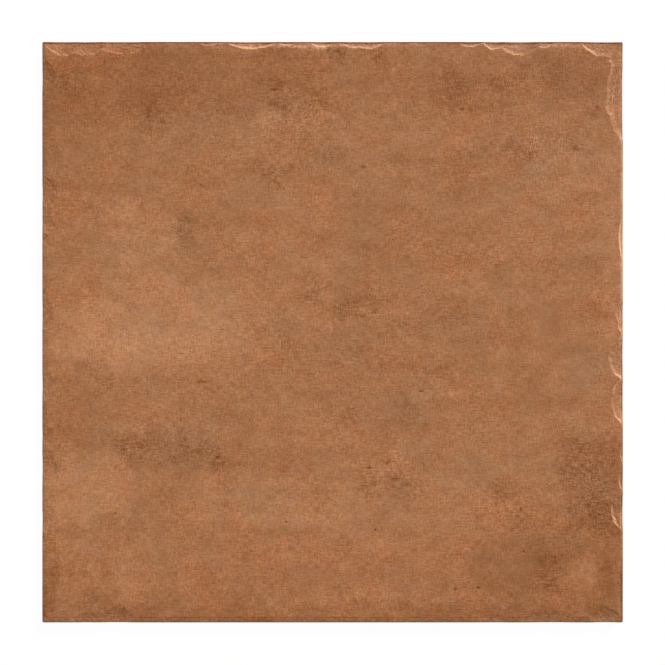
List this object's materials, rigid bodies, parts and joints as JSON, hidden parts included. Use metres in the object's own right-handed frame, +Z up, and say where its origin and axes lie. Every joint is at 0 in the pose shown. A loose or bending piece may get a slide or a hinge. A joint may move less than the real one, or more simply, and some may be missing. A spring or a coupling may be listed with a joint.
{
  "type": "terracotta floor tile",
  "caption": "Square terracotta floor tile, one pressed and fired piece, with a mottled face, hand-broken looking edges and a ribbed back that keys into adhesive.",
  "frame": {"origin": "middle of the bedding side, on the plane of the rib tips and the back's border", "axes": "+Z up from the bedding side to the walking face; +Y towards the north edge, the top of the picture; +X towards the east edge, its right"},
  "size_m": [0.45, 0.45, 0.0095],
  "materials": {
    "fired_clay": "matt, finely grained, mottled orange-brown fired clay with darker cloudy stains and fine dark specks"
  },
  "bodies": {
    "root": {"tile": "fired_clay"}
  },
  "joints": []
}
